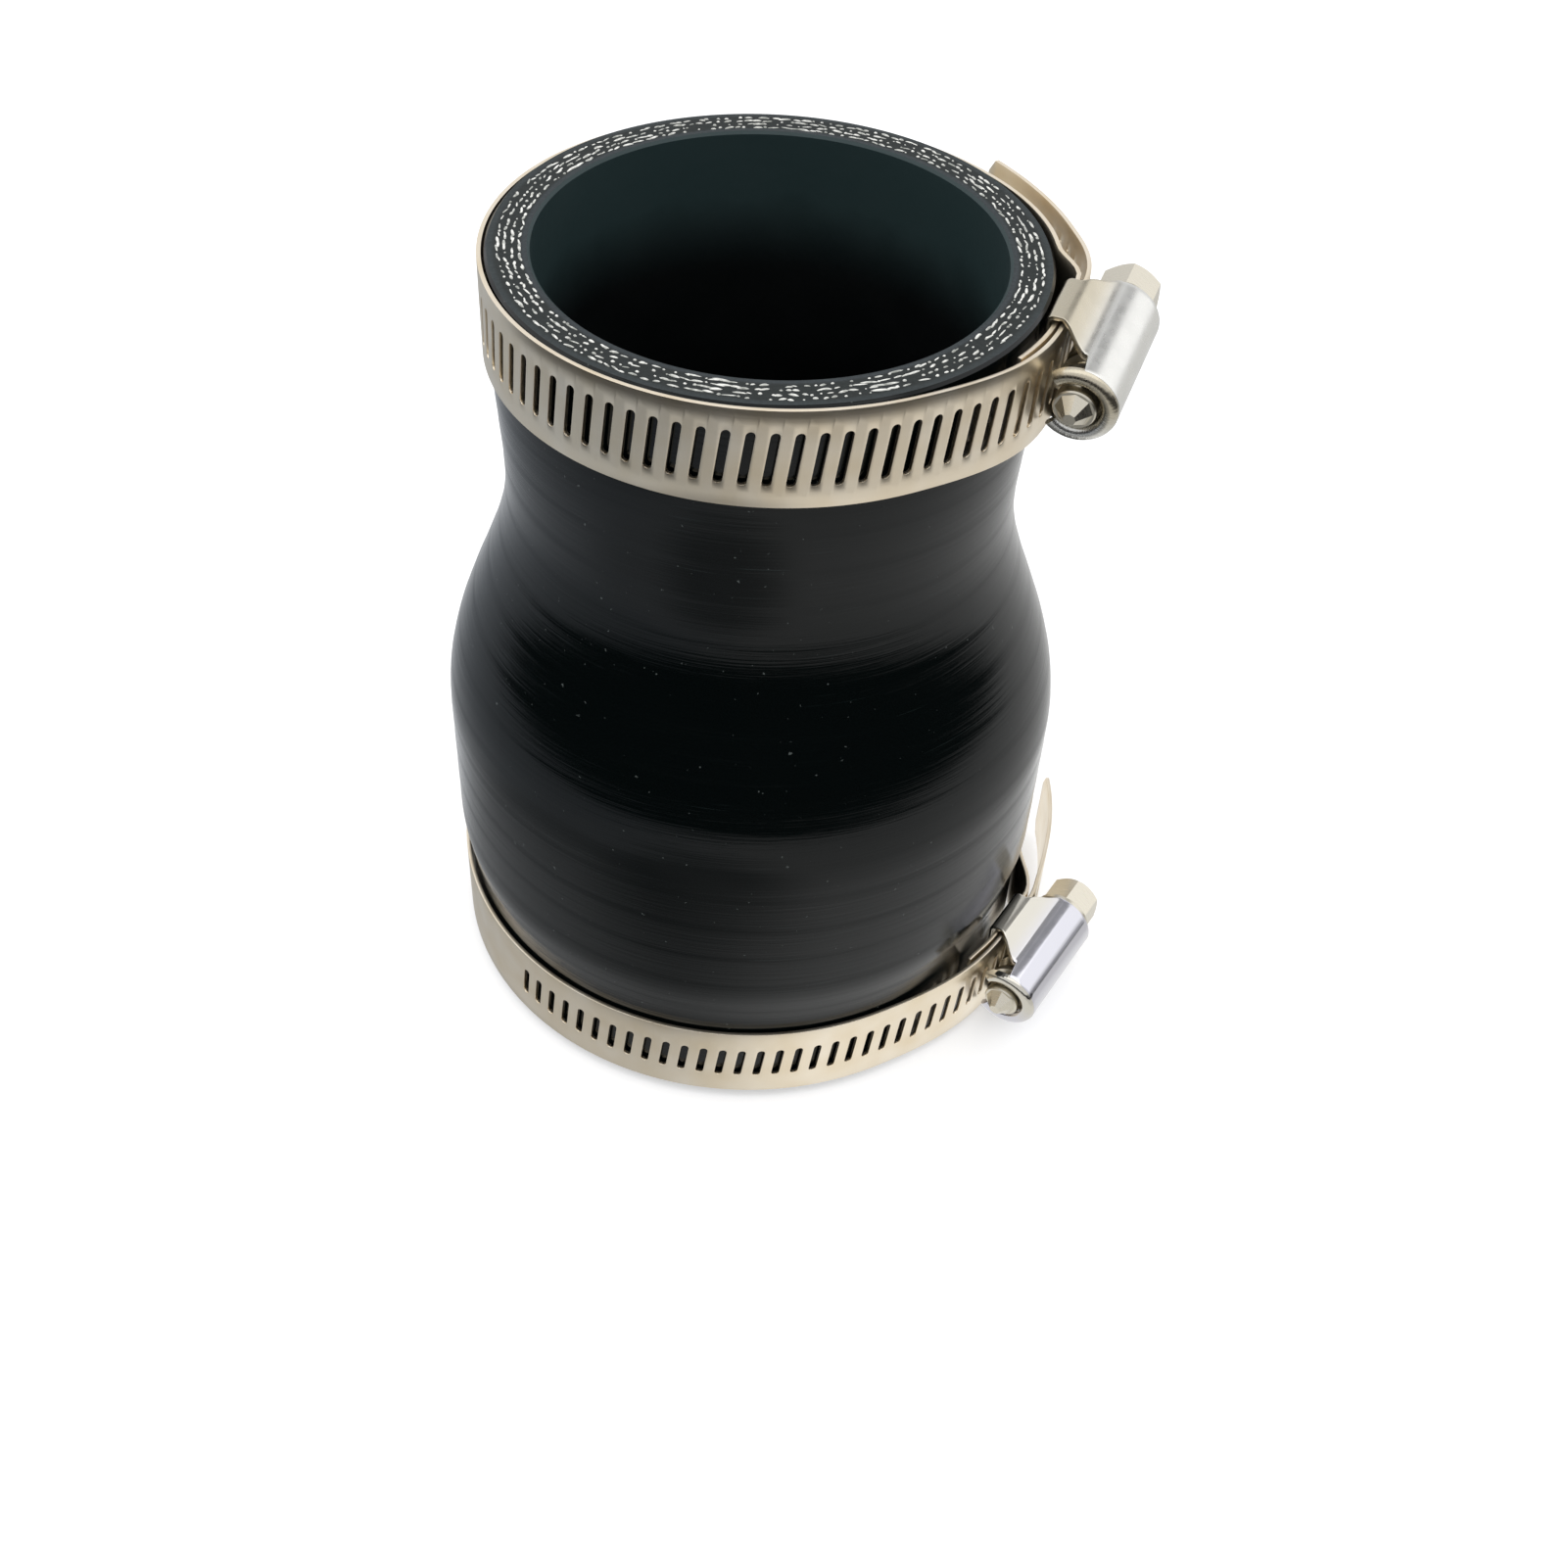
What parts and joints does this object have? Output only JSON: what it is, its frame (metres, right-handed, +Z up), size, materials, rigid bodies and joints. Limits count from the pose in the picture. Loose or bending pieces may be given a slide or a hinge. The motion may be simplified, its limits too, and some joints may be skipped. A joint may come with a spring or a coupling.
{
  "type": "silicone reducing hose coupler with worm-drive clamps",
  "caption": "Straight silicone hose coupler that steps down from a wide bore to a narrow one, with a perforated stainless worm-drive clamp round each end",
  "frame": {"origin": "centre of the whole object's box, on the plane of the large end's cut face, which is what the part stands on", "axes": "+Z runs up the hose's axis from the large end to the small end; +X points to the side where both clamp housings sit; +Y completes a right-handed frame. The hose's axis stands at x = -5.214 mm, y = 0"},
  "size_m": [0.0868, 0.0764, 0.1005],
  "materials": {
    "silicone_rubber": "satin-glossy black silicone with faint tape-wrap lines; cut faces grey with rows of white yarn ends",
    "band_steel": "bright rolled stainless strip",
    "housing_steel": "polished pressed stainless sheet",
    "screw_steel": "turned stainless, slightly duller than the housing"
  },
  "bodies": {
    "coupler": {"hose": "silicone_rubber", "upper_band": "band_steel", "upper_housing": "housing_steel", "lower_band": "band_steel", "lower_housing": "housing_steel"},
    "upper_screw": {"upper_screw": "screw_steel"},
    "lower_screw": {"lower_screw": "screw_steel"}
  },
  "joints": [
    {"name": "upper_screw_turn", "type": "hinge", "parent": "coupler", "child": "upper_screw", "pos_m": [0.02963, -0.00969, 0.09352], "axis": [0.3568, 0.9256, 0.1264], "continuous": true},
    {"name": "lower_screw_turn", "type": "hinge", "parent": "coupler", "child": "lower_screw", "pos_m": [0.03391, -0.01858, 0.00665], "axis": [0.5336, 0.8441, 0.0523], "continuous": true}
  ]
}
